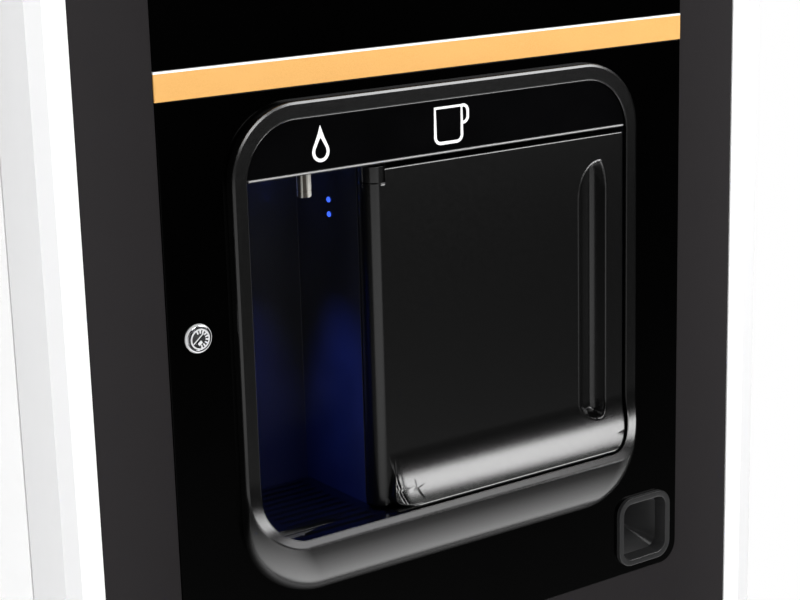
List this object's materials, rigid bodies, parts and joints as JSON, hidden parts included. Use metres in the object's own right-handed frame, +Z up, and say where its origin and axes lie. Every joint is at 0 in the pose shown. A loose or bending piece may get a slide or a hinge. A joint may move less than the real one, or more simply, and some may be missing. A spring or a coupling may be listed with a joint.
{
  "type": "hot coffee vending machine",
  "caption": "Free-standing hot drinks vending machine with a bottle filling niche, a hinged cup door, a touch display and coin and card payment.",
  "frame": {"origin": "on the floor, in the middle of the machine's width and depth", "axes": "+X to the right of someone facing the machine, +Y into the machine from its front, +Z up"},
  "size_m": [0.65, 0.735, 1.83],
  "materials": {
    "grey_paint": "light grey powder coat, satin",
    "white_paint": "white powder coat, satin",
    "charcoal_paint": "charcoal paint, satin",
    "gloss_black": "high-gloss black acrylic",
    "gold_paint": "fine-grained ochre gold lacquer",
    "satin_black": "moulded black ABS, satin",
    "black_plastic": "black polypropylene, matt",
    "reader_plastic": "black polycarbonate, semi-gloss",
    "dark_grey_plastic": "dark grey moulded plastic, satin",
    "white_plastic": "white food-safe plastic, satin",
    "clear_plastic": "clear polycarbonate with a faint smoke tint",
    "display_glass": "bonded glass over a dark display",
    "blue_lens": "translucent blue diffuser over a row of lamps",
    "chrome": "polished chrome plate",
    "stainless_steel": "brushed stainless steel",
    "zinc_sheet": "galvanised sheet steel, bare",
    "brass": "machined brass, lightly aged",
    "rubber": "black moulded rubber"
  },
  "bodies": {
    "cabinet": {"left_side_panel": "white_paint", "right_side_panel": "white_paint", "top_panel": "white_paint", "rear_panel": "zinc_sheet", "base_frame": "charcoal_paint", "foot_1": "rubber", "foot_2": "rubber", "foot_3": "rubber", "foot_4": "rubber", "inner_frame": "zinc_sheet", "upper_hinge_bracket": "stainless_steel", "lower_hinge_bracket": "stainless_steel", "power_inlet": "black_plastic", "water_inlet": "brass", "control_box": "zinc_sheet", "boiler": "stainless_steel", "water_pump": "brass", "waste_bucket": "black_plastic", "canister_1": "clear_plastic", "canister_2": "clear_plastic", "mixing_bowl": "white_plastic", "bean_hopper": "clear_plastic", "grinder": "black_plastic", "brew_unit": "white_plastic"},
    "main_door": {"door_frame": "grey_paint", "white_strip_left": "white_paint", "white_strip_right": "white_paint", "front_panel": "charcoal_paint", "upper_gloss_panel": "gloss_black", "lower_gloss_panel": "gloss_black", "gold_stripe": "gold_paint", "door_inner_pan": "zinc_sheet", "bay_bezel": "satin_black", "icon_panel": "gloss_black", "icon_trim": "chrome", "bay_liner": "satin_black", "bottle_nozzle": "stainless_steel", "niche_light": "blue_lens", "cup_platform": "satin_black", "cup_door_hinge_post": "satin_black", "lock_cylinder": "chrome", "coin_cup": "dark_grey_plastic", "card_reader": "reader_plastic", "coin_slot_plate": "stainless_steel", "touch_display": "display_glass", "coin_mechanism": "white_plastic", "coin_box": "zinc_sheet"},
    "cup_door": {"cup_door": "satin_black"},
    "door_lock": {"lock_plug": "chrome"},
    "latch_bolt": {"latch_bolt": "stainless_steel"},
    "coin_return_button": {"coin_return_button": "stainless_steel"},
    "drip_tray": {"drip_tray": "satin_black"},
    "drip_grille": {"drip_grille": "satin_black"},
    "cup_turret": {"cup_turret": "clear_plastic"},
    "hopper_lid": {"hopper_lid": "black_plastic"},
    "auger_1": {"auger_1": "white_plastic"},
    "auger_2": {"auger_2": "white_plastic"},
    "whipper": {"whipper": "white_plastic"},
    "brew_piston": {"brew_piston": "stainless_steel"},
    "dispense_carriage": {"dispense_carriage": "black_plastic"}
  },
  "joints": [
    {"name": "main_door_hinge", "type": "hinge", "parent": "cabinet", "child": "main_door", "pos_m": [0.317, -0.2983, 0.95], "axis": [0, 0, 1], "range_deg": [0, 105]},
    {"name": "cup_door_hinge", "type": "hinge", "parent": "main_door", "child": "cup_door", "pos_m": [-0.062, -0.3348, 0.965], "axis": [0, 0, -1], "range_deg": [0, 90], "stiffness_Nm_per_rad": 0.15, "springref_deg": -11.46},
    {"name": "door_lock_turn", "type": "hinge", "parent": "main_door", "child": "door_lock", "pos_m": [-0.2136, -0.3383, 0.992], "axis": [0, 1, 0], "range_deg": [0, 90]},
    {"name": "latch_bolt_slide", "type": "slide", "parent": "main_door", "child": "latch_bolt", "axis": [-1, 0, 0], "range_m": [0, 0.018]},
    {"name": "coin_return_press", "type": "slide", "parent": "main_door", "child": "coin_return_button", "axis": [0, 1, 0], "range_m": [0, 0.0035], "stiffness_N_per_m": 300, "springref_m": -0.004},
    {"name": "drip_tray_lift", "type": "slide", "parent": "main_door", "child": "drip_tray", "axis": [0, 0, 1], "range_m": [0, 0.06]},
    {"name": "drip_grille_lift", "type": "slide", "parent": "drip_tray", "child": "drip_grille", "axis": [0, 0, 1], "range_m": [0, 0.05]},
    {"name": "cup_turret_spin", "type": "hinge", "parent": "cabinet", "child": "cup_turret", "pos_m": [-0.195, -0.05, 1.52], "axis": [0, 0, 1], "continuous": true},
    {"name": "hopper_lid_hinge", "type": "hinge", "parent": "cabinet", "child": "hopper_lid", "pos_m": [0.245, 0.058, 1.6044], "axis": [-1, 0, 0], "range_deg": [0, 70]},
    {"name": "auger_1_spin", "type": "hinge", "parent": "cabinet", "child": "auger_1", "pos_m": [-0.01, 0, 1.39], "axis": [0, 1, 0], "continuous": true},
    {"name": "auger_2_spin", "type": "hinge", "parent": "cabinet", "child": "auger_2", "pos_m": [0.102, 0, 1.39], "axis": [0, 1, 0], "continuous": true},
    {"name": "whipper_spin", "type": "hinge", "parent": "cabinet", "child": "whipper", "pos_m": [0.046, -0.09, 1.282], "axis": [0, 1, 0], "continuous": true},
    {"name": "brew_piston_stroke", "type": "slide", "parent": "cabinet", "child": "brew_piston", "axis": [0, 0, -1], "range_m": [0, 0.04]},
    {"name": "dispense_carriage_slide", "type": "slide", "parent": "cabinet", "child": "dispense_carriage", "axis": [0, -1, 0], "range_m": [0, 0.105]}
  ],
  "couplings": [
    {"joint": "door_lock_turn", "follows": "latch_bolt_slide", "rad_per_m": 87.266}
  ]
}
